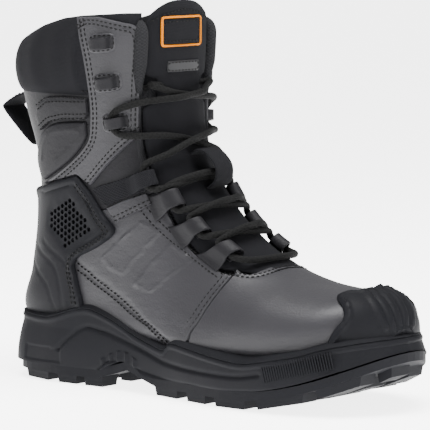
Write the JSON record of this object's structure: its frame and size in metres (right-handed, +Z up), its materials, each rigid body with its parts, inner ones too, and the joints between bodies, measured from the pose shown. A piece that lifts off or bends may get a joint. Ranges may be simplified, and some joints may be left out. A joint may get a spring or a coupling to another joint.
{
  "type": "steel toe work boot",
  "caption": "High-leg safety boot for the right foot: leather upper, padded collar and tongue, laced front, moulded heel counter and toe cover, lugged sole.",
  "frame": {"origin": "on the ground under the middle of the heel", "axes": "+X towards the toe, +Z up the shaft, -Y to the outer side of the right foot"},
  "size_m": [0.347, 0.1212, 0.26],
  "materials": {
    "leather": "satin, fine grain, black",
    "textile": "matt black weave",
    "lining": "black mesh knit",
    "rubber": "matt black",
    "moulding": "matt black, moulded ribs",
    "lace": "round braid, warm black",
    "accent": "matt orange edging",
    "steel": "pressed sheet",
    "board": "woven fibre board",
    "foam": "textile covered foam",
    "plastic": "matt black"
  },
  "bodies": {
    "root": {"vamp": "leather", "quarter_lateral": "leather", "quarter_medial": "leather", "shaft_lateral": "leather", "shaft_medial": "leather", "facing_lateral": "leather", "facing_medial": "leather", "collar_band_lateral": "leather", "collar_band_medial": "leather", "ankle_pad_lateral": "leather", "ankle_pad_medial": "leather", "side_strip_lateral": "leather", "side_strip_medial": "leather", "back_stay": "leather", "lace_tab_1_lateral": "leather", "lace_tab_1_medial": "leather", "lace_tab_2_lateral": "leather", "lace_tab_2_medial": "leather", "lace_tab_3_lateral": "leather", "lace_tab_3_medial": "leather", "lace_hook_1_lateral": "leather", "lace_hook_1_medial": "leather", "lace_hook_2_lateral": "leather", "lace_hook_2_medial": "leather", "lace_hook_3_lateral": "leather", "lace_hook_3_medial": "leather", "collar": "textile", "tongue_lower": "textile", "webbing_strap_lateral": "textile", "webbing_strap_medial": "textile", "webbing_eye_lateral": "textile", "webbing_eye_medial": "textile", "lace_keeper": "textile", "lining": "lining", "outsole": "rubber", "midsole": "rubber", "heel_counter": "moulding", "toe_bumper": "moulding", "lace": "lace", "lace_tail_lateral": "lace", "lace_tail_medial": "lace", "steel_toe_cap": "steel", "shank": "steel", "puncture_board": "board", "heel_stiffener": "board", "footbed": "foam", "aglet_lateral": "plastic", "aglet_medial": "plastic"},
    "tongue_flap": {"tongue_top": "textile", "tongue_patch_frame": "accent", "tongue_tag": "plastic"},
    "pull_loop": {"pull_loop": "textile"}
  },
  "joints": [
    {"name": "tongue_bend", "type": "hinge", "parent": "root", "child": "tongue_flap", "pos_m": [0.06404, 0, 0.199], "axis": [0, 1, 0], "range_deg": [-5, 25]},
    {"name": "pull_loop_swing", "type": "hinge", "parent": "root", "child": "pull_loop", "pos_m": [-0.06463, 0, 0.193], "axis": [0, 1, 0], "range_deg": [0, 55]}
  ]
}
